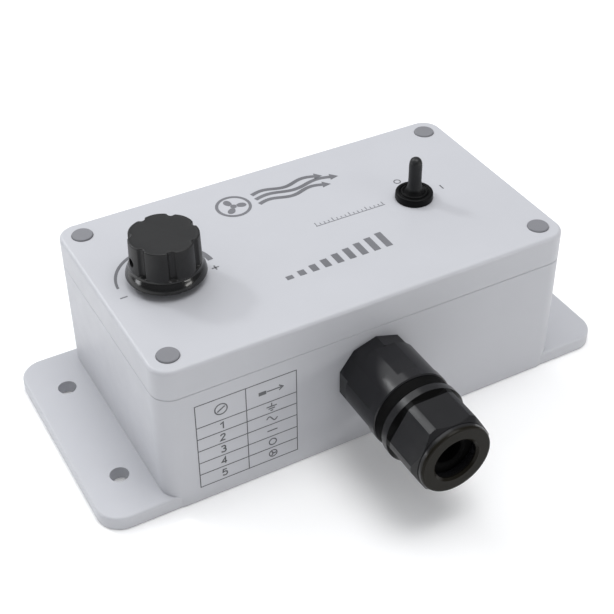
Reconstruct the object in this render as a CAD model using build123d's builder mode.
from build123d import *
import os
import math

os.makedirs("parts", exist_ok=True)

# Wall-mounted fan speed controller: flanged plastic enclosure, front cable
# gland, speed knob on a potentiometer, booted toggle switch, control board.
# Millimetres.  +X along the long side, -Y towards the cable gland, +Z out of
# the lid.  Origin at the centre of the mounting plane (underside of the base).

# ---------------------------------------------------------------- enclosure
L, W, H = 158.0, 90.0, 60.0          # body, without the mounting ears
R_CORNER = 7.0
T = 2.5                              # wall
Z_SPLIT = 48.3                       # joint between base and lid
EAR_L, EAR_W = 202.5, 89.4           # over both ears
EAR_T = 5.0
EAR_R = 9.0
EAR_HOLE_X, EAR_HOLE_Y, EAR_HOLE_R = 88.4, 25.1, 3.4
LID_FILLET = 1.4
SCREW_X, SCREW_Y = 71.2, 36.9        # lid screws
BOSS_R = 6.0
CAP_R = 3.8
GROOVE_W, GROOVE_D = 1.0, 1.2

# ------------------------------------------------------------------- board
PCB_X, PCB_Y, PCB_T = 120.0, 64.0, 1.6
PCB_CY = 4.0
PCB_Z = 9.0
POST_X, POST_Y = 55.0, 27.0          # posts, from the board's centre
Z_TOP = PCB_Z + PCB_T                # component side

# ------------------------------------------------------------- speed control
KX, KY = -55.1, 0.0
KNOB_R, SKIRT_R = 12.3, 13.8
KNOB_Z0, SKIRT_Z, KNOB_Z1 = 62.7, 67.2, 78.0
KNOB_LOBES = 7
LOBE_R, FLUTE_R = 8.0, 1.5
KNOB_NOTCH_DEG = 2.0                 # direction of the first flute
SHAFT_R = 3.0

# ------------------------------------------------------------------- toggle
SX, SY = 43.0, 0.0
PIVOT_Z = 60.8
PIN_R = 0.5
ROCK_Z = 48.9
BALL_R = 1.95
BOOT_R = 6.95
BOOT_TOP = 76.9

# ------------------------------------------------------------- cable gland
GZ = 30.0                            # axis height, at x = 0, along Y
Y_WALL = -W / 2
G_COLLAR = 5.4                       # faceted collar at the wall
G_COLLAR_R = 14.6
G_BODY_END = -68.8
G_BODY_R, G_BODY_AF = 14.8, 28.6
G_NUT_Y0, G_NUT_Y1 = -73.3, -94.9
G_NUT_R, G_NUT_AF = 14.9, 27.0
G_THREAD_IN, G_THREAD_OUT = 11.25, 12.4
G_BORE = 8.6
G_MOUTH = 7.75

solids = []


def keep(bp, name):
    bp.part.label = name
    export_step(bp.part, "parts/" + name + ".step")
    solids.append(name)


# axis frame of the gland: local Z runs outwards (-Y), local X stays +X
def gland_plane(y):
    return Plane(origin=(0, y, GZ), x_dir=(1, 0, 0), z_dir=(0, -1, 0))


# =============================================================== ENCLOSURE
with BuildPart() as base_box:
    with BuildSketch(Plane.XY):
        RectangleRounded(EAR_L, EAR_W, EAR_R)
    extrude(amount=EAR_T)
    # soften the exposed upper edge of the ears
    with BuildSketch(Plane.XY):
        RectangleRounded(L, W, R_CORNER)
    extrude(amount=Z_SPLIT)
    # interior
    with BuildSketch(Plane.XY.offset(T)):
        RectangleRounded(L - 2 * T, W - 2 * T, R_CORNER - T)
    extrude(amount=Z_SPLIT, mode=Mode.SUBTRACT)
    # lid screw bosses
    with BuildSketch(Plane.XY.offset(T - 0.5)):
        with Locations(*[(sx * SCREW_X, sy * SCREW_Y) for sx in (-1, 1) for sy in (-1, 1)]):
            Circle(BOSS_R)
    extrude(amount=Z_SPLIT - T + 0.5)
    # board posts
    with BuildSketch(Plane.XY.offset(T - 0.5)):
        with Locations((0, PCB_CY)):
            with GridLocations(2 * POST_X, 2 * POST_Y, 2, 2):
                Circle(3.6)
    extrude(amount=PCB_Z - T + 0.5)
    # pocket for the threaded inserts and the screw tails
    with Locations(*[(sx * SCREW_X, sy * SCREW_Y, Z_SPLIT) for sx in (-1, 1) for sy in (-1, 1)]):
        CounterBoreHole(radius=2.2, counter_bore_radius=2.85, counter_bore_depth=8.0, depth=13.0)
    with Locations(*[(sx * POST_X, PCB_CY + sy * POST_Y, PCB_Z) for sx in (-1, 1) for sy in (-1, 1)]):
        Hole(radius=1.25, depth=6.0)
    # wall mounting holes through the ears
    with Locations(*[(sx * EAR_HOLE_X, sy * EAR_HOLE_Y, EAR_T) for sx in (-1, 1) for sy in (-1, 1)]):
        Hole(radius=EAR_HOLE_R, depth=EAR_T + 1)
    # sealing groove in the rim
    with BuildSketch(Plane.XY.offset(Z_SPLIT)):
        RectangleRounded(L - 1.2, W - 1.2, R_CORNER - 0.6)
        RectangleRounded(L - 1.2 - 2 * GROOVE_W, W - 1.2 - 2 * GROOVE_W, R_CORNER - 0.6 - GROOVE_W,
                         mode=Mode.SUBTRACT)
    extrude(amount=-GROOVE_D, mode=Mode.SUBTRACT)
    # cable gland hole in the front wall
    with BuildSketch(gland_plane(Y_WALL - 1)):
        Circle(G_THREAD_IN + 0.15)
    extrude(amount=-(T + 2), mode=Mode.SUBTRACT)
    # exposed outer edges
    rim = base_box.edges().filter_by_position(Axis.Z, Z_SPLIT - 0.01, Z_SPLIT + 0.01)
    outer_rim = [e for e in rim if max(abs(e.center().X) / (L / 2), abs(e.center().Y) / (W / 2)) > 0.995
                 or (abs(e.center().X) > L / 2 - 2.2 and abs(e.center().Y) > W / 2 - 2.2)]
    chamfer(outer_rim, length=0.25)
    ear_top = base_box.edges().filter_by_position(Axis.Z, EAR_T - 0.01, EAR_T + 0.01)
    ear_top = [e for e in ear_top if abs(e.center().X) > L / 2 + 0.5 and e.geom_type == GeomType.LINE
               and abs(abs(e.center().X) - EAR_L / 2) < 0.01]
    fillet(ear_top, radius=0.8)
keep(base_box, "base_box")

with BuildPart() as lid:
    with BuildSketch(Plane.XY.offset(Z_SPLIT)):
        RectangleRounded(L, W, R_CORNER)
    extrude(amount=H - Z_SPLIT)
    fillet(lid.edges().group_by(Axis.Z)[-1], radius=LID_FILLET)
    chamfer(lid.edges().group_by(Axis.Z)[0], length=0.25)
    with BuildSketch(Plane.XY.offset(Z_SPLIT)):
        RectangleRounded(L - 2 * T, W - 2 * T, R_CORNER - T)
    extrude(amount=H - Z_SPLIT - T, mode=Mode.SUBTRACT)
    with BuildSketch(Plane.XY.offset(Z_SPLIT)):
        with Locations(*[(sx * SCREW_X, sy * SCREW_Y) for sx in (-1, 1) for sy in (-1, 1)]):
            Circle(BOSS_R)
    extrude(amount=H - Z_SPLIT - 1.0)
    # stiffening ribs under the top
    with BuildSketch(Plane.XY.offset(H - T - 2.5)):
        with Locations((-20, 0), (5, 0)):
            Rectangle(1.4, W - 2 * T)
    extrude(amount=3.0)
    # screw recess
    with Locations(*[(sx * SCREW_X, sy * SCREW_Y, H) for sx in (-1, 1) for sy in (-1, 1)]):
        CounterBoreHole(radius=2.2, counter_bore_radius=CAP_R + 0.1, counter_bore_depth=5.0,
                        depth=H - Z_SPLIT + 1)
    with Locations((KX, KY, H)):
        Hole(radius=3.65, depth=T + 1)
    with Locations((SX, SY, H)):
        Hole(radius=3.3, depth=T + 1)
keep(lid, "lid")

with BuildPart() as lid_gasket:
    with BuildSketch(Plane.XY.offset(Z_SPLIT - GROOVE_D)):
        RectangleRounded(L - 1.3, W - 1.3, R_CORNER - 0.65)
        RectangleRounded(L - 1.1 - 2 * GROOVE_W, W - 1.1 - 2 * GROOVE_W, R_CORNER - 0.55 - GROOVE_W,
                         mode=Mode.SUBTRACT)
    extrude(amount=GROOVE_D)
keep(lid_gasket, "lid_gasket")

with BuildPart() as lid_screw_one:
    with BuildSketch(Plane.XZ):
        with BuildLine():
            Polyline((0, 38.6), (1.2, 38.6), (1.95, 39.6), (1.95, H - 5.0), (3.5, H - 5.0), (3.5, H - 3.6),
                     (2.6, H - 2.6), (0, H - 2.6), (0, 38.6))
        make_face()
    revolve(axis=Axis.Z)
    with BuildSketch(Plane.XY.offset(H - 2.6)):
        Rectangle(4.2, 0.9)
        Rectangle(0.9, 4.2)
    extrude(amount=-1.3, mode=Mode.SUBTRACT)
with BuildPart() as lid_screws:
    for sx in (-1, 1):
        for sy in (-1, 1):
            add(lid_screw_one.part.moved(Location((sx * SCREW_X, sy * SCREW_Y, 0))))
keep(lid_screws, "lid_screws")

with BuildPart() as screw_caps:
    with BuildSketch(Plane.XY.offset(H - 2.4)):
        with Locations(*[(sx * SCREW_X, sy * SCREW_Y) for sx in (-1, 1) for sy in (-1, 1)]):
            Circle(CAP_R)
    extrude(amount=2.4 + 0.55)
    chamfer(screw_caps.edges().group_by(Axis.Z)[-1], length=0.25)
    with BuildSketch(Plane.XY.offset(H - 2.4)):
        with Locations(*[(sx * SCREW_X, sy * SCREW_Y) for sx in (-1, 1) for sy in (-1, 1)]):
            Circle(CAP_R - 1.1)
    extrude(amount=1.4, mode=Mode.SUBTRACT)
keep(screw_caps, "screw_caps")

with BuildPart() as screw_inserts:
    with BuildSketch(Plane.XY.offset(Z_SPLIT - 8.0)):
        with Locations(*[(sx * SCREW_X, sy * SCREW_Y) for sx in (-1, 1) for sy in (-1, 1)]):
            Circle(2.82)
            Circle(2.0, mode=Mode.SUBTRACT)
    extrude(amount=7.9)
keep(screw_inserts, "screw_inserts")

# ============================================================= CABLE GLAND
with BuildPart() as gland_body:
    # faceted collar against the wall
    with BuildSketch(gland_plane(Y_WALL)):
        RegularPolygon(radius=G_COLLAR_R, side_count=10, rotation=18)
    extrude(amount=G_COLLAR)
    # barrel with wrench flats
    with BuildSketch(gland_plane(Y_WALL - G_COLLAR)):
        Circle(G_BODY_R)
    extrude(amount=-G_BODY_END + Y_WALL - G_COLLAR)
    chamfer(gland_body.edges().filter_by_position(Axis.Y, G_BODY_END - 0.01, G_BODY_END + 0.01), length=0.4)
    with BuildSketch(gland_plane(Y_WALL - G_COLLAR)):
        Circle(G_BODY_R + 3)
        RegularPolygon(radius=G_BODY_AF / 2, side_count=6, major_radius=False, mode=Mode.SUBTRACT)
    extrude(amount=14.4, mode=Mode.SUBTRACT)
    # outer thread for the dome nut, inner thread for the locknut
    with BuildSketch(gland_plane(G_BODY_END)):
        Circle(G_THREAD_OUT)
    extrude(amount=15.2)
    with BuildSketch(gland_plane(Y_WALL)):
        Circle(G_THREAD_IN)
    extrude(amount=-9.5)
    # bore
    with BuildSketch(gland_plane(Y_WALL + 20)):
        Circle(G_BORE)
    extrude(amount=70, mode=Mode.SUBTRACT)
    # seat for the clamping insert
    with BuildSketch(gland_plane(-78.0)):
        Circle(10.6)
    extrude(amount=10, mode=Mode.SUBTRACT)
    # groove for the wall seal
    with BuildSketch(gland_plane(Y_WALL)):
        Circle(13.4)
        Circle(12.0, mode=Mode.SUBTRACT)
    extrude(amount=0.9, mode=Mode.SUBTRACT)
keep(gland_body, "gland_body")

with BuildPart() as gland_wall_seal:
    with BuildSketch(gland_plane(Y_WALL)):
        Circle(13.3)
        Circle(12.1, mode=Mode.SUBTRACT)
    extrude(amount=0.85)
keep(gland_wall_seal, "gland_wall_seal")

with BuildPart() as gland_neck_ring:
    with BuildSketch(gland_plane(G_BODY_END)):
        Circle(14.3)
        Circle(G_THREAD_OUT + 0.03, mode=Mode.SUBTRACT)
    extrude(amount=4.4)
    chamfer(gland_neck_ring.edges().filter_by(GeomType.CIRCLE).filter_by(lambda e: e.radius > 14.0), length=0.25)
keep(gland_neck_ring, "gland_neck_ring")

with BuildPart() as gland_locknut:
    with BuildSketch(gland_plane(Y_WALL + T)):
        RegularPolygon(radius=13.5, side_count=6, major_radius=False)
        Circle(G_THREAD_IN + 0.04, mode=Mode.SUBTRACT)
    extrude(amount=-5.0)
    with BuildSketch(gland_plane(Y_WALL + T)):
        Circle(20)
        Circle(14.9, mode=Mode.SUBTRACT)
    extrude(amount=-5.0, mode=Mode.SUBTRACT)
keep(gland_locknut, "gland_locknut")

with BuildPart() as gland_claw:
    with BuildSketch(Plane.YZ):
        with BuildLine():
            Polyline((-78.0, GZ + 8.7), (-78.0, GZ + 10.55), (-84.2, GZ + 10.55), (-84.2, GZ + 11.4),
                     (-86.6, GZ + 11.4), (-90.7, GZ + 9.6), (-90.7, GZ + 8.7), (-78.0, GZ + 8.7))
        make_face()
    revolve(axis=Axis((0, 0, GZ), (0, 1, 0)))
    # slots that let the fingers close on the seal
    with BuildSketch(gland_plane(-85.0)):
        with PolarLocations(10.0, 8):
            Rectangle(6.0, 1.2)
    extrude(amount=8, mode=Mode.SUBTRACT)
keep(gland_claw, "gland_claw")

with BuildPart() as gland_seal:
    with BuildSketch(gland_plane(-76.0)):
        Circle(8.5)
        Circle(5.0, mode=Mode.SUBTRACT)
    extrude(amount=14.6)
    chamfer(gland_seal.edges().filter_by(GeomType.CIRCLE).filter_by(lambda e: e.radius < 5.1), length=0.8)
keep(gland_seal, "gland_seal")

with BuildPart() as gland_slip_ring:
    with BuildSketch(gland_plane(-91.15)):
        Circle(10.2)
        Circle(8.0, mode=Mode.SUBTRACT)
    extrude(amount=0.85)
keep(gland_slip_ring, "gland_slip_ring")

with BuildPart() as nut_hexagon:
    # hexagon with its corners turned to the collar's radius and a front chamfer
    with BuildSketch(gland_plane(-75.5)):
        RegularPolygon(radius=G_NUT_AF / 2, side_count=6, major_radius=False)
    extrude(amount=17.1)
    with BuildSketch(Plane.YZ):
        with BuildLine():
            Polyline((-75.0, GZ), (-75.0, GZ + G_NUT_R), (-91.1, GZ + G_NUT_R), (-92.6, GZ + 13.3),
                     (-92.6, GZ), (-75.0, GZ))
        make_face()
    revolve(axis=Axis((0, 0, GZ), (0, 1, 0)), mode=Mode.INTERSECT)

with BuildPart() as gland_dome_nut:
    # turned blank: collar with a conical shoulder, cylindrical nose, eased rim
    with BuildSketch(Plane.YZ):
        with BuildLine():
            Polyline((G_NUT_Y0, GZ), (G_NUT_Y0, GZ + G_NUT_R - 0.5), (G_NUT_Y0 - 0.5, GZ + G_NUT_R),
                     (-76.7, GZ + G_NUT_R), (-78.6, GZ + 13.4), (-79.0, GZ + 13.1), (-93.0, GZ + 13.1),
                     (-94.2, GZ + 13.0), (-94.75, GZ + 12.75), (G_NUT_Y1, GZ + 12.3), (G_NUT_Y1, GZ),
                     (G_NUT_Y0, GZ))
        make_face()
    revolve(axis=Axis((0, 0, GZ), (0, 1, 0)))
    add(nut_hexagon.part)
    # thread, closing cone, seat for the slip ring, mouth
    with BuildSketch(Plane.YZ):
        with BuildLine():
            Polyline((G_NUT_Y0 + 1, GZ), (G_NUT_Y0 + 1, GZ + G_THREAD_OUT + 0.06), (-86.9, GZ + G_THREAD_OUT + 0.06),
                     (-89.6, GZ + 10.5), (-92.05, GZ + 10.5), (-92.05, GZ + G_MOUTH), (-94.2, GZ + G_MOUTH),
                     (G_NUT_Y1 - 0.2, GZ + G_MOUTH + 1.0), (G_NUT_Y1 - 0.2, GZ), (G_NUT_Y0 + 1, GZ))
        make_face()
    revolve(axis=Axis((0, 0, GZ), (0, 1, 0)), mode=Mode.SUBTRACT)
keep(gland_dome_nut, "gland_dome_nut")

# =========================================================== SPEED CONTROL
with BuildPart() as knob:
    # skirt
    with BuildSketch(Plane.XZ):
        with BuildLine():
            Polyline((KX, KNOB_Z0), (KX + SKIRT_R - 0.25, KNOB_Z0), (KX + SKIRT_R, KNOB_Z0 + 0.25),
                     (KX + SKIRT_R, 63.5), (KX + SKIRT_R - 0.3, 63.9), (KX + 12.75, 65.3), (KX + 12.25, 66.6),
                     (KX + 12.15, SKIRT_Z), (KX, SKIRT_Z), (KX, KNOB_Z0))
        make_face()
    revolve(axis=Axis((KX, KY, 0), (0, 0, 1)))
    # seven-lobed grip with a narrow flute between the lobes
    with BuildSketch(Plane.XY.offset(SKIRT_Z - 0.4)):
        with Locations((KX, KY)):
            Circle(10.0)
            with PolarLocations(KNOB_R - LOBE_R, KNOB_LOBES, start_angle=KNOB_NOTCH_DEG + 180.0 / KNOB_LOBES):
                Circle(LOBE_R)
            with PolarLocations(KNOB_R + 0.1, KNOB_LOBES, start_angle=KNOB_NOTCH_DEG):
                Circle(FLUTE_R, mode=Mode.SUBTRACT)
    extrude(amount=KNOB_Z1 - SKIRT_Z + 0.4)
    chamfer(knob.edges().group_by(Axis.Z)[-1], length=0.35)
    # shaft bore, recess over the panel nut
    with BuildSketch(Plane.XY.offset(KNOB_Z0 - 1)):
        with Locations((KX, KY)):
            Circle(9.0)
    extrude(amount=3.0, mode=Mode.SUBTRACT)
    with BuildSketch(Plane.XY.offset(KNOB_Z0 - 1)):
        with Locations((KX, KY)):
            Circle(SHAFT_R + 0.03)
    extrude(amount=13.4, mode=Mode.SUBTRACT)
    # clamp screw hole through the lobe
    knob_screw_plane = Plane(origin=(KX, KY, 70.8), x_dir=(0, 0, 1),
                             z_dir=(math.cos(math.radians(182)), math.sin(math.radians(182)), 0))
    with BuildSketch(knob_screw_plane):
        Circle(1.65)
    extrude(amount=20, mode=Mode.SUBTRACT)
keep(knob, "knob")

with BuildPart() as knob_set_screw:
    with BuildSketch(knob_screw_plane.offset(3.05)):
        Circle(1.6)
    extrude(amount=6.6)
    with BuildSketch(knob_screw_plane.offset(3.05 + 6.6)):
        Rectangle(0.6, 4)
    extrude(amount=-0.9, mode=Mode.SUBTRACT)
keep(knob_set_screw, "knob_set_screw")

with BuildPart() as pot_shaft:
    with BuildSketch(Plane.XY.offset(48.9)):
        with Locations((KX, KY)):
            Circle(SHAFT_R)
    extrude(amount=26.0)
    chamfer(pot_shaft.edges().group_by(Axis.Z)[-1], length=0.4)
keep(pot_shaft, "pot_shaft")

with BuildPart() as pot_bushing:
    with BuildSketch(Plane.XY.offset(56.2)):
        with Locations((KX, KY)):
            Circle(7.0)
    extrude(amount=1.3)
    with BuildSketch(Plane.XY.offset(57.5)):
        with Locations((KX, KY)):
            Circle(3.5)
    extrude(amount=6.3)
    with BuildSketch(Plane.XY.offset(50)):
        with Locations((KX, KY)):
            Circle(SHAFT_R + 0.06)
    extrude(amount=20, mode=Mode.SUBTRACT)
keep(pot_bushing, "pot_bushing")

with BuildPart() as pot_washer:
    with BuildSketch(Plane.XY.offset(H)):
        with Locations((KX, KY)):
            Circle(6.0)
            Circle(3.6, mode=Mode.SUBTRACT)
    extrude(amount=0.5)
keep(pot_washer, "pot_washer")

with BuildPart() as pot_nut:
    with BuildSketch(Plane.XY.offset(H + 0.5)):
        with Locations((KX, KY)):
            RegularPolygon(radius=5.0, side_count=6, major_radius=False)
            Circle(3.54, mode=Mode.SUBTRACT)
    extrude(amount=2.0)
keep(pot_nut, "pot_nut")

with BuildPart() as pot_housing:
    with BuildSketch(Plane.XY.offset(46.2)):
        with Locations((KX, KY)):
            Circle(12.0)
    extrude(amount=10.0)
    chamfer(pot_housing.edges().group_by(Axis.Z)[-1], length=0.5)
    with BuildSketch(Plane.XY.offset(47.2)):
        with Locations((KX, KY)):
            Circle(11.0)
    extrude(amount=8.0, mode=Mode.SUBTRACT)
    with BuildSketch(Plane.XY.offset(50)):
        with Locations((KX, KY)):
            Circle(SHAFT_R + 0.15)
    extrude(amount=10, mode=Mode.SUBTRACT)
    # slots for the three tags
    with BuildSketch(Plane.XY.offset(47.2)):
        with Locations((KX - 5, -10.5), (KX, -11.5), (KX + 5, -10.5)):
            Rectangle(2.0, 4.5)
    extrude(amount=0.5, mode=Mode.SUBTRACT)
keep(pot_housing, "pot_housing")

with BuildPart() as pot_track:
    with BuildSketch(Plane.XY.offset(47.7)):
        with Locations((KX, KY)):
            Circle(10.9)
            Circle(4.0, mode=Mode.SUBTRACT)
    extrude(amount=0.6)
keep(pot_track, "pot_track")

with BuildPart() as pot_wiper:
    with BuildSketch(Plane.XY.offset(49.6)):
        with Locations((KX, KY)):
            Circle(6.0)
        with Locations((KX, KY + 7.2)):
            Rectangle(4.0, 5.2)
        with Locations((KX, KY)):
            Circle(SHAFT_R + 0.02, mode=Mode.SUBTRACT)
    extrude(amount=1.2)
    with BuildSketch(Plane.XY.offset(48.5)):
        with Locations((KX, KY + 8.6)):
            Rectangle(3.0, 1.2)
    extrude(amount=1.1)
keep(pot_wiper, "pot_wiper")

with BuildPart() as pot_terminals:
    with BuildSketch(Plane.XY.offset(47.2)):
        with Locations((KX - 5, -12.4), (KX, -12.9), (KX + 5, -12.4)):
            Rectangle(1.9, 7.6)
    extrude(amount=0.5)
    with Locations((KX - 5, -15.0, 47.7), (KX, -15.5, 47.7), (KX + 5, -15.0, 47.7)):
        Hole(radius=0.55, depth=1)
keep(pot_terminals, "pot_terminals")

# ================================================================== TOGGLE
with BuildPart() as switch_case:
    with BuildSketch(Plane.XY.offset(46.4)):
        with Locations((SX, SY)):
            RectangleRounded(13.2, 12.7, 0.6)
    extrude(amount=10.4)
    with BuildSketch(Plane.XY.offset(47.6)):
        with Locations((SX, SY)):
            Rectangle(11.0, 8.0)
    extrude(amount=10, mode=Mode.SUBTRACT)
    with BuildSketch(Plane.XY.offset(46)):
        with Locations((SX - 4.7, SY), (SX, SY), (SX + 4.7, SY)):
            Rectangle(0.8, 2.0)
    extrude(amount=3, mode=Mode.SUBTRACT)
keep(switch_case, "switch_case")

with BuildPart() as switch_top_plate:
    with BuildSketch(Plane.XY.offset(56.8)):
        with Locations((SX, SY)):
            Rectangle(13.2, 12.7)
            Circle(3.22, mode=Mode.SUBTRACT)
    extrude(amount=0.65)
    with BuildSketch(Plane.XY.offset(50.0)):
        with Locations((SX - 6.85, SY), (SX + 6.85, SY)):
            Rectangle(0.5, 6.0)
    extrude(amount=7.45)
keep(switch_top_plate, "switch_top_plate")

with BuildPart() as switch_bushing:
    with BuildSketch(Plane.XY.offset(56.0)):
        with Locations((SX, SY)):
            Circle(3.6)
    extrude(amount=0.8)
    with BuildSketch(Plane.XY.offset(56.8)):
        with Locations((SX, SY)):
            Circle(3.17)
    extrude(amount=6.2)
    with BuildSketch(Plane.XY.offset(50)):
        with Locations((SX, SY)):
            Circle(BALL_R + 0.08)
    extrude(amount=20, mode=Mode.SUBTRACT)
    chamfer(switch_bushing.edges().group_by(Axis.Z)[-1].filter_by(lambda e: e.radius < 2.5), length=0.4)
    with Locations((SX, SY, PIVOT_Z)):
        Cylinder(radius=PIN_R + 0.06, height=8.0, rotation=(90, 0, 0), mode=Mode.SUBTRACT)
keep(switch_bushing, "switch_bushing")

with BuildPart() as boot_nut:
    with BuildSketch(Plane.XY.offset(H)):
        with Locations((SX, SY)):
            RegularPolygon(radius=4.0, side_count=6, major_radius=False)
            Circle(3.2, mode=Mode.SUBTRACT)
    extrude(amount=2.0)
keep(boot_nut, "boot_nut")

with BuildPart() as boot_base:
    with BuildSketch(Plane.XZ):
        with BuildLine():
            Polyline((SX + 3.25, H + 2.05), (SX + 4.7, H + 2.05), (SX + 4.7, H), (SX + BOOT_R, H),
                     (SX + BOOT_R, H + 2.5), (SX + BOOT_R - 0.3, H + 3.0), (SX + 3.25, H + 3.0),
                     (SX + 3.25, H + 2.05))
        make_face()
    revolve(axis=Axis((SX, SY, 0), (0, 0, 1)))
keep(boot_base, "boot_base")

with BuildPart() as boot_sleeve:
    with BuildSketch(Plane.XZ):
        with BuildLine():
            Polyline((SX + 1.52, 65.4), (SX + 3.3, 65.4), (SX + 2.55, 67.2), (SX + 2.4, 68.5), (SX + 2.4, BOOT_TOP - 1.4),
                     (SX + 1.9, BOOT_TOP - 0.4), (SX + 0.9, BOOT_TOP), (SX, BOOT_TOP), (SX, BOOT_TOP - 2.7),
                     (SX + 1.52, BOOT_TOP - 2.7),
                     (SX + 1.52, 65.4))
        make_face()
    revolve(axis=Axis((SX, SY, 0), (0, 0, 1)))
keep(boot_sleeve, "boot_sleeve")

with BuildPart() as switch_lever:
    with BuildSketch(Plane.XZ):
        with BuildLine():
            Polyline((SX, 52.6), (SX + 0.9, 52.6), (SX + 0.9, 60.0), (SX + 1.3, 61.4), (SX + 1.3, 66.0),
                     (SX + 1.48, 68.0), (SX + 1.48, BOOT_TOP - 3.4), (SX + 0.8, BOOT_TOP - 2.8),
                     (SX, BOOT_TOP - 2.8), (SX, 52.6))
        make_face()
    revolve(axis=Axis((SX, SY, 0), (0, 0, 1)))
    # pivot ball with its cross pin
    with Locations((SX, SY, PIVOT_Z)):
        Sphere(radius=BALL_R)
        Cylinder(radius=PIN_R, height=5.8, rotation=(90, 0, 0))
keep(switch_lever, "switch_lever")

with BuildPart() as switch_plunger:
    with BuildSketch(Plane.XZ):
        with BuildLine():
            Polyline((SX, 49.5), (SX + 0.9, 49.6), (SX + 1.6, 50.4), (SX + 1.6, 55.0), (SX + 0.93, 55.0),
                     (SX + 0.93, 50.6), (SX, 50.6), (SX, 49.5))
        make_face()
    revolve(axis=Axis((SX, SY, 0), (0, 0, 1)))
keep(switch_plunger, "switch_plunger")

with BuildPart() as switch_spring:
    with BuildLine():
        coil = Helix(pitch=0.45, height=1.62, radius=0.6, center=(SX, SY, 50.78))
    with BuildSketch(Plane(origin=coil @ 0, z_dir=coil % 0)):
        Circle(0.14)
    sweep(is_frenet=True)
keep(switch_spring, "switch_spring")

with BuildPart() as switch_rocker:
    with BuildSketch(Plane.XZ.offset(-1.2)):
        with BuildLine():
            Polyline((SX - 5.2, 48.75), (SX - 1.2, 48.55), (SX + 1.2, 48.55), (SX + 5.2, 48.75), (SX + 5.2, 49.35),
                     (SX + 1.2, 49.25), (SX - 1.2, 49.25), (SX - 5.2, 49.35), (SX - 5.2, 48.75))
        make_face()
        # round knuckle that rocks on the centre terminal
        with Locations((SX, ROCK_Z)):
            Circle(0.5)
    extrude(amount=2.4)
keep(switch_rocker, "switch_rocker")

with BuildPart() as switch_terminals:
    with BuildSketch(Plane.XY.offset(42.4)):
        with Locations((SX - 4.7, SY), (SX, SY), (SX + 4.7, SY)):
            Rectangle(0.78, 1.98)
    extrude(amount=5.4)
    with BuildSketch(Plane.XY.offset(47.6)):
        with Locations((SX - 4.7, SY), (SX + 4.7, SY)):
            Rectangle(1.4, 2.4)
    extrude(amount=0.45)
    with BuildSketch(Plane.XY.offset(47.6)):
        with Locations((SX, SY)):
            Rectangle(1.6, 2.4)
    extrude(amount=0.78)
keep(switch_terminals, "switch_terminals")

# =================================================================== BOARD
with BuildPart() as pcb:
    with BuildSketch(Plane.XY.offset(PCB_Z)):
        with Locations((0, PCB_CY)):
            RectangleRounded(PCB_X, PCB_Y, 2.0)
    extrude(amount=PCB_T)
    with Locations(*[(sx * POST_X, PCB_CY + sy * POST_Y, Z_TOP) for sx in (-1, 1) for sy in (-1, 1)]):
        Hole(radius=1.6, depth=PCB_T + 1)
keep(pcb, "pcb")

with BuildPart() as pcb_screw_one:
    with BuildSketch(Plane.XZ):
        with BuildLine():
            Polyline((0, 4.4), (0.6, 4.4), (1.2, 5.2), (1.2, Z_TOP), (2.8, Z_TOP), (2.8, Z_TOP + 1.0),
                     (2.0, Z_TOP + 1.8), (0, Z_TOP + 1.8), (0, 4.4))
        make_face()
    revolve(axis=Axis.Z)
    with BuildSketch(Plane.XY.offset(Z_TOP + 1.8)):
        Rectangle(3.0, 0.7)
        Rectangle(0.7, 3.0)
    extrude(amount=-1.0, mode=Mode.SUBTRACT)
with BuildPart() as pcb_screws:
    for sx in (-1, 1):
        for sy in (-1, 1):
            add(pcb_screw_one.part.moved(Location((sx * POST_X, PCB_CY + sy * POST_Y, 0))))
keep(pcb_screws, "pcb_screws")

# five-way screw terminal block facing the gland
TB_X = [-15.24, -7.62, 0.0, 7.62, 15.24]
TB_Y0, TB_Y1, TB_H = -26.0, -14.0, 14.0
with BuildPart() as terminal_block:
    with BuildSketch(Plane.YZ.offset(-19.3)):
        with BuildLine():
            Polyline((TB_Y0, Z_TOP), (TB_Y1, Z_TOP), (TB_Y1, Z_TOP + 9.5), (TB_Y1 - 2.5, Z_TOP + TB_H),
                     (TB_Y0 + 2.5, Z_TOP + TB_H), (TB_Y0, Z_TOP + 9.5), (TB_Y0, Z_TOP))
        make_face()
    extrude(amount=38.6)
    # wire entries
    with BuildSketch(Plane.XZ.offset(-TB_Y0)):
        with Locations(*[(x, Z_TOP + 4.4) for x in TB_X]):
            Rectangle(5.2, 5.6)
    extrude(amount=-9.0, mode=Mode.SUBTRACT)
    # screw wells
    with Locations(*[(x, -20.0, Z_TOP + TB_H) for x in TB_X]):
        Hole(radius=2.2, depth=TB_H - 5.0)
keep(terminal_block, "terminal_block")

with BuildPart() as terminal_clamps:
    with BuildSketch(Plane.XZ.offset(23.6)):
        with Locations(*[(x, Z_TOP + 4.4) for x in TB_X]):
            Rectangle(5.0, 5.4)
            Rectangle(3.4, 3.4, mode=Mode.SUBTRACT)
    extrude(amount=-6.4)
    with Locations(*[(x, -20.0, Z_TOP + 7.1) for x in TB_X]):
        Hole(radius=1.55, depth=1.2)
keep(terminal_clamps, "terminal_clamps")

with BuildPart() as terminal_screws:
    for x in TB_X:
        with BuildSketch(Plane.XY.offset(Z_TOP + 5.2)):
            with Locations((x, -20.0)):
                Circle(1.5)
        extrude(amount=4.0)
        with BuildSketch(Plane.XY.offset(Z_TOP + 9.2)):
            with Locations((x, -20.0)):
                Circle(2.1)
        extrude(amount=2.2)
        with BuildSketch(Plane.XY.offset(Z_TOP + 11.4)):
            with Locations((x, -20.0)):
                Rectangle(5.0, 0.7, rotation=17)
        extrude(amount=-1.0, mode=Mode.SUBTRACT)
keep(terminal_screws, "terminal_screws")

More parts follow.
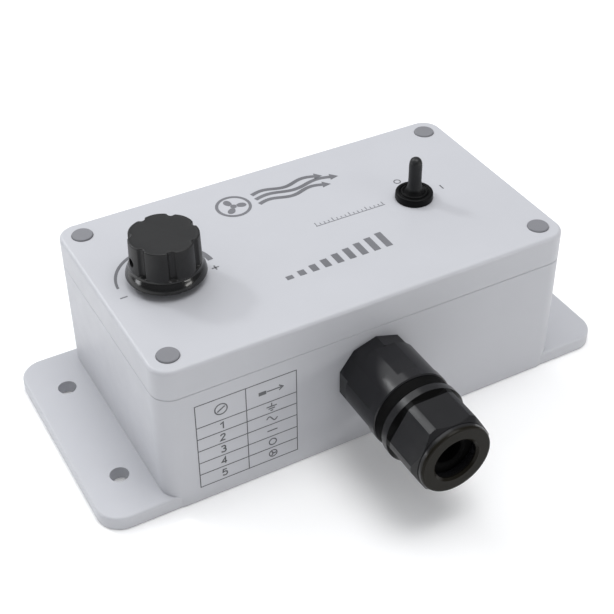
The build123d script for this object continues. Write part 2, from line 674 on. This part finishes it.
# heatsink with its triac
HS_X0, HS_X1, HS_Y0, HS_Z1 = 12.0, 48.0, 18.0, 40.0
with BuildPart() as heatsink:
    with BuildSketch(Plane.XY.offset(Z_TOP)):
        with Locations(((HS_X0 + HS_X1) / 2, HS_Y0 + 1.5)):
            Rectangle(HS_X1 - HS_X0, 3.0)
        with Locations(*[(HS_X0 + 0.8 + k * 4.914, HS_Y0 + 7.5) for k in range(8)]):
            Rectangle(1.6, 13.0)
    extrude(amount=HS_Z1 - Z_TOP)
    with BuildSketch(Plane.XZ.offset(-HS_Y0)):
        with Locations((30.0, 29.5)):
            Circle(1.5)
    extrude(amount=-3.0, mode=Mode.SUBTRACT)
keep(heatsink, "heatsink")

with BuildPart() as triac:
    with BuildSketch(Plane.XY.offset(17.0)):
        with Locations((30.0, HS_Y0 - 2.25)):
            Rectangle(10.2, 4.5)
    extrude(amount=9.2)
    with BuildSketch(Plane.XY.offset(26.2)):
        with Locations((30.0, HS_Y0 - 0.65)):
            Rectangle(10.2, 1.3)
    extrude(amount=6.4)
    with BuildSketch(Plane.XZ.offset(-HS_Y0)):
        with Locations((30.0, 29.5)):
            Circle(1.7)
    extrude(amount=2.0, mode=Mode.SUBTRACT)
    with BuildSketch(Plane.XY.offset(Z_TOP)):
        with Locations((27.46, HS_Y0 - 2.4), (30.0, HS_Y0 - 2.4), (32.54, HS_Y0 - 2.4)):
            Rectangle(0.9, 0.6)
    extrude(amount=17.0 - Z_TOP)
keep(triac, "triac")

with BuildPart() as heatsink_screw:
    with BuildSketch(Plane.XZ.offset(-(HS_Y0 - 1.3))):
        with Locations((30.0, 29.5)):
            Circle(2.8)
    extrude(amount=2.0)
    with BuildSketch(Plane.XZ.offset(-(HS_Y0 - 1.3))):
        with Locations((30.0, 29.5)):
            Circle(1.45)
    extrude(amount=-5.8)
    with BuildSketch(Plane.XZ.offset(-(HS_Y0 - 3.3))):
        with Locations((30.0, 29.5)):
            Rectangle(3.2, 0.7)
            Rectangle(0.7, 3.2)
    extrude(amount=-1.0, mode=Mode.SUBTRACT)
keep(heatsink_screw, "heatsink_screw")

# suppression choke, flat on the board
CHX, CHY = -40.0, 15.0
with BuildPart() as choke_core:
    with BuildSketch(Plane.XY.offset(Z_TOP + 1.2)):
        with Locations((CHX, CHY)):
            Circle(12.0)
            Circle(7.0, mode=Mode.SUBTRACT)
    extrude(amount=9.0)
    chamfer(choke_core.edges().filter_by(GeomType.CIRCLE), length=0.5)
keep(choke_core, "choke_core")

with BuildPart() as choke_winding:
    with BuildSketch(Plane(origin=(CHX, CHY, 0), x_dir=(1, 0, 0), z_dir=(0, -1, 0))):
        with Locations((9.5, Z_TOP + 5.7)):
            Rectangle(7.2, 11.2)
            Rectangle(5.1, 9.1, mode=Mode.SUBTRACT)
    revolve(axis=Axis((CHX, CHY, 0), (0, 0, 1)), revolution_arc=300)
keep(choke_winding, "choke_winding")

with BuildPart() as film_capacitors:
    with BuildSketch(Plane.XY.offset(Z_TOP + 0.3)):
        with Locations((-9.0, 25.0)):
            Rectangle(26.5, 10.0)
    extrude(amount=18.0)
    with BuildSketch(Plane.XY.offset(Z_TOP + 0.3)):
        with Locations((-9.0, 8.0)):
            Rectangle(18.0, 7.5)
    extrude(amount=14.0)
    fillet(film_capacitors.edges().filter_by(Axis.Z), radius=0.6)
keep(film_capacitors, "film_capacitors")

with BuildPart() as fuse:
    with BuildSketch(Plane.YZ.offset(29.0)):
        with Locations((-14.0, 15.6)):
            Circle(2.6)
    extrude(amount=20.0)
    with BuildSketch(Plane.YZ.offset(34.5)):
        with Locations((-14.0, 15.6)):
            Circle(3.0)
            Circle(2.45, mode=Mode.SUBTRACT)
    extrude(amount=9.0, mode=Mode.SUBTRACT)
keep(fuse, "fuse")

with BuildPart() as fuse_clips:
    for x0 in (29.6, 43.9):
        with BuildSketch(Plane.YZ.offset(x0)):
            with Locations((-14.0, 13.7)):
                Rectangle(7.6, 6.2)
            with Locations((-14.0, 15.6)):
                Circle(2.64, mode=Mode.SUBTRACT)
            with Locations((-14.0, 17.4)):
                Rectangle(4.0, 4.0, mode=Mode.SUBTRACT)
        extrude(amount=4.5)
keep(fuse_clips, "fuse_clips")

with BuildPart() as resistors:
    for x0, y0 in ((44.0, -2.0), (44.0, 3.5), (44.0, 9.0)):
        with BuildSketch(Plane.YZ.offset(x0)):
            with Locations((y0, Z_TOP + 2.0)):
                Circle(1.7)
        extrude(amount=8.0)
        with BuildSketch(Plane.YZ.offset(x0 - 2.2)):
            with Locations((y0, Z_TOP + 2.0)):
                Circle(0.35)
        extrude(amount=12.4)
        with BuildSketch(Plane.XY.offset(Z_TOP)):
            with Locations((x0 - 1.8, y0), (x0 + 9.8, y0)):
                Circle(0.3)
        extrude(amount=2.0)
keep(resistors, "resistors")

with BuildPart() as diac:
    with BuildSketch(Plane.YZ.offset(16.0)):
        with Locations((3.0, Z_TOP + 1.3)):
            Circle(1.0)
    extrude(amount=4.2)
    with BuildSketch(Plane.YZ.offset(14.0)):
        with Locations((3.0, Z_TOP + 1.3)):
            Circle(0.3)
    extrude(amount=8.2)
    with BuildSketch(Plane.XY.offset(Z_TOP)):
        with Locations((14.0, 3.0), (22.2, 3.0)):
            Circle(0.3)
    extrude(amount=1.3)
keep(diac, "diac")

# ============================================================ INTERNAL LEADS
LEAD_R = 0.8


def lead_volume(wire):
    return math.pi * LEAD_R ** 2 * wire.length


lead_solids = {}
for group, routes in {
    "pot_leads": [
        [(KX - 5, -15.0, 47.2), (KX - 5, -15.0, 33.0), (KX - 1, -9.0, 22.0), (KX - 1, -9.0, Z_TOP)],
        [(KX, -15.5, 47.2), (KX, -15.5, 35.0), (KX + 4.5, -11.0, 24.0), (KX + 4.5, -11.0, Z_TOP)],
        [(KX + 5, -15.0, 47.2), (KX + 5, -15.0, 36.0), (KX + 10, -12.0, 26.0), (KX + 10, -12.0, Z_TOP)],
    ],
    "switch_leads": [
        [(SX - 4.7, 0.0, 42.4), (SX - 4.7, 0.0, 33.0), (SX - 9.0, -3.5, 22.0), (SX - 9.0, -3.5, Z_TOP)],
        [(SX, 0.0, 42.4), (SX, 0.0, 34.0), (SX - 4.0, -6.0, 24.0), (SX - 4.0, -6.0, Z_TOP)],
        [(SX + 4.7, 0.0, 42.4), (SX + 4.7, 0.0, 35.0), (SX + 1.5, -7.5, 24.0), (SX + 1.5, -7.5, Z_TOP)],
    ],
}.items():
    with BuildPart() as lead_group:
        want = 0.0
        for pts in routes:
            with BuildLine() as path:
                FilletPolyline(*pts, radius=9.0)
            with BuildSketch(Plane(origin=pts[0], z_dir=(0, 0, -1))):
                Circle(LEAD_R)
            sweep(path=path.wires()[0])
            want += lead_volume(path.wires()[0])
    print(group, "volume", round(lead_group.part.volume, 1), "section x length", round(want, 1))
    keep(lead_group, group)

print(len(solids), "nodes")
